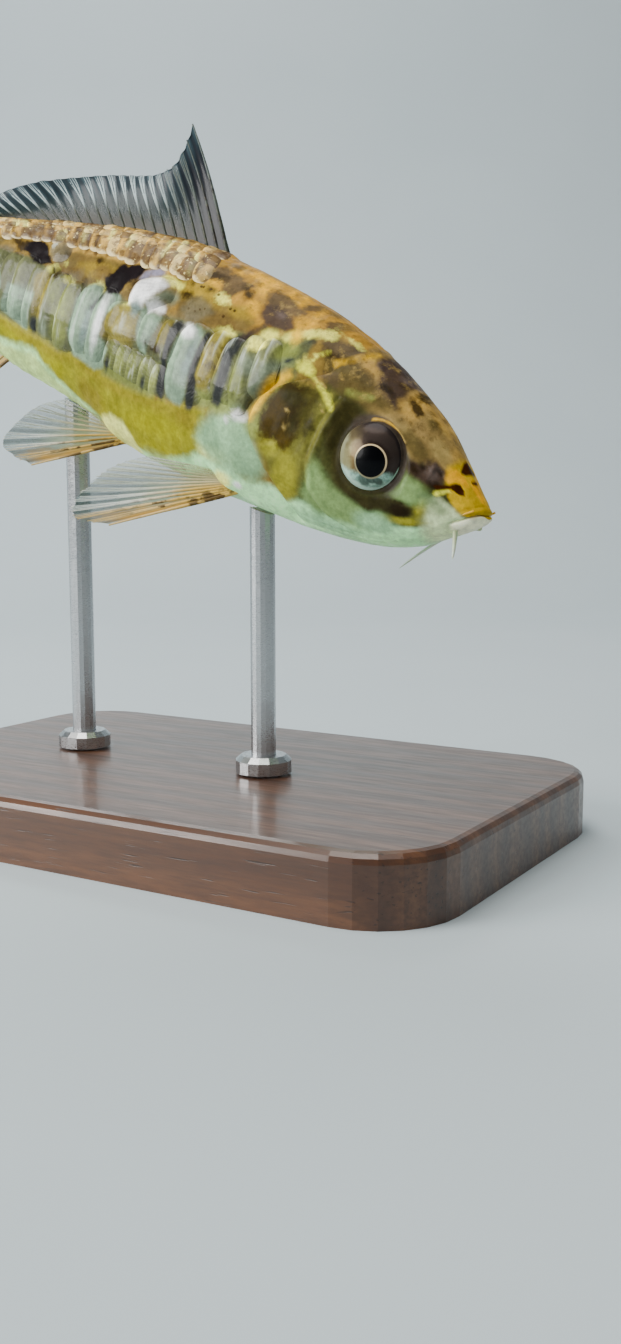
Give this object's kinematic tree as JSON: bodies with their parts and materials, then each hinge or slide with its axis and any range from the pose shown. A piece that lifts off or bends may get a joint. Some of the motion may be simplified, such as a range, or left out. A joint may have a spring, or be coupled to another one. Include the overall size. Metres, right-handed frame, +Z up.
{
  "type": "koi carp model",
  "caption": "Life-size young koi carp with a row of mirror scales along its side, held nose down over a flat wooden base by steel rods.",
  "frame": {"origin": "centre of the underside of the stand's base", "axes": "+Z up, +X the way the fish faces, -Y its right side"},
  "size_m": [0.1229, 0.056, 0.1023],
  "materials": {
    "head_skin": "wet, mottled gold and brown skin",
    "jaw_skin": "pale, soft, slightly glossy skin",
    "body_skin": "smooth leathery skin with silver scales, wet gloss",
    "dark_fin": "thin membrane between pale rays",
    "pale_fin": "thin cream membrane between white rays",
    "eye": "polished, silver iris and black pupil",
    "stand_wood": "dark stained, satin varnish",
    "stand_steel": "satin"
  },
  "bodies": {
    "root": {"head": "head_skin", "lower_jaw": "jaw_skin", "gill_cover_right": "head_skin", "gill_cover_left": "head_skin", "eye_right": "eye", "eye_left": "eye", "trunk": "body_skin", "tail_stalk": "body_skin", "dorsal_fin": "dark_fin", "anal_fin": "pale_fin", "tail_fin_upper": "dark_fin", "tail_fin_lower": "dark_fin", "pectoral_fin_right": "pale_fin", "pectoral_fin_left": "pale_fin", "pelvic_fin_right": "pale_fin", "pelvic_fin_left": "pale_fin", "barbel_corner_right": "jaw_skin", "barbel_corner_left": "jaw_skin", "barbel_lip_right": "jaw_skin", "barbel_lip_left": "jaw_skin", "stand_base": "stand_wood", "stand_rod_front": "stand_steel", "stand_rod_rear": "stand_steel"}
  },
  "joints": []
}
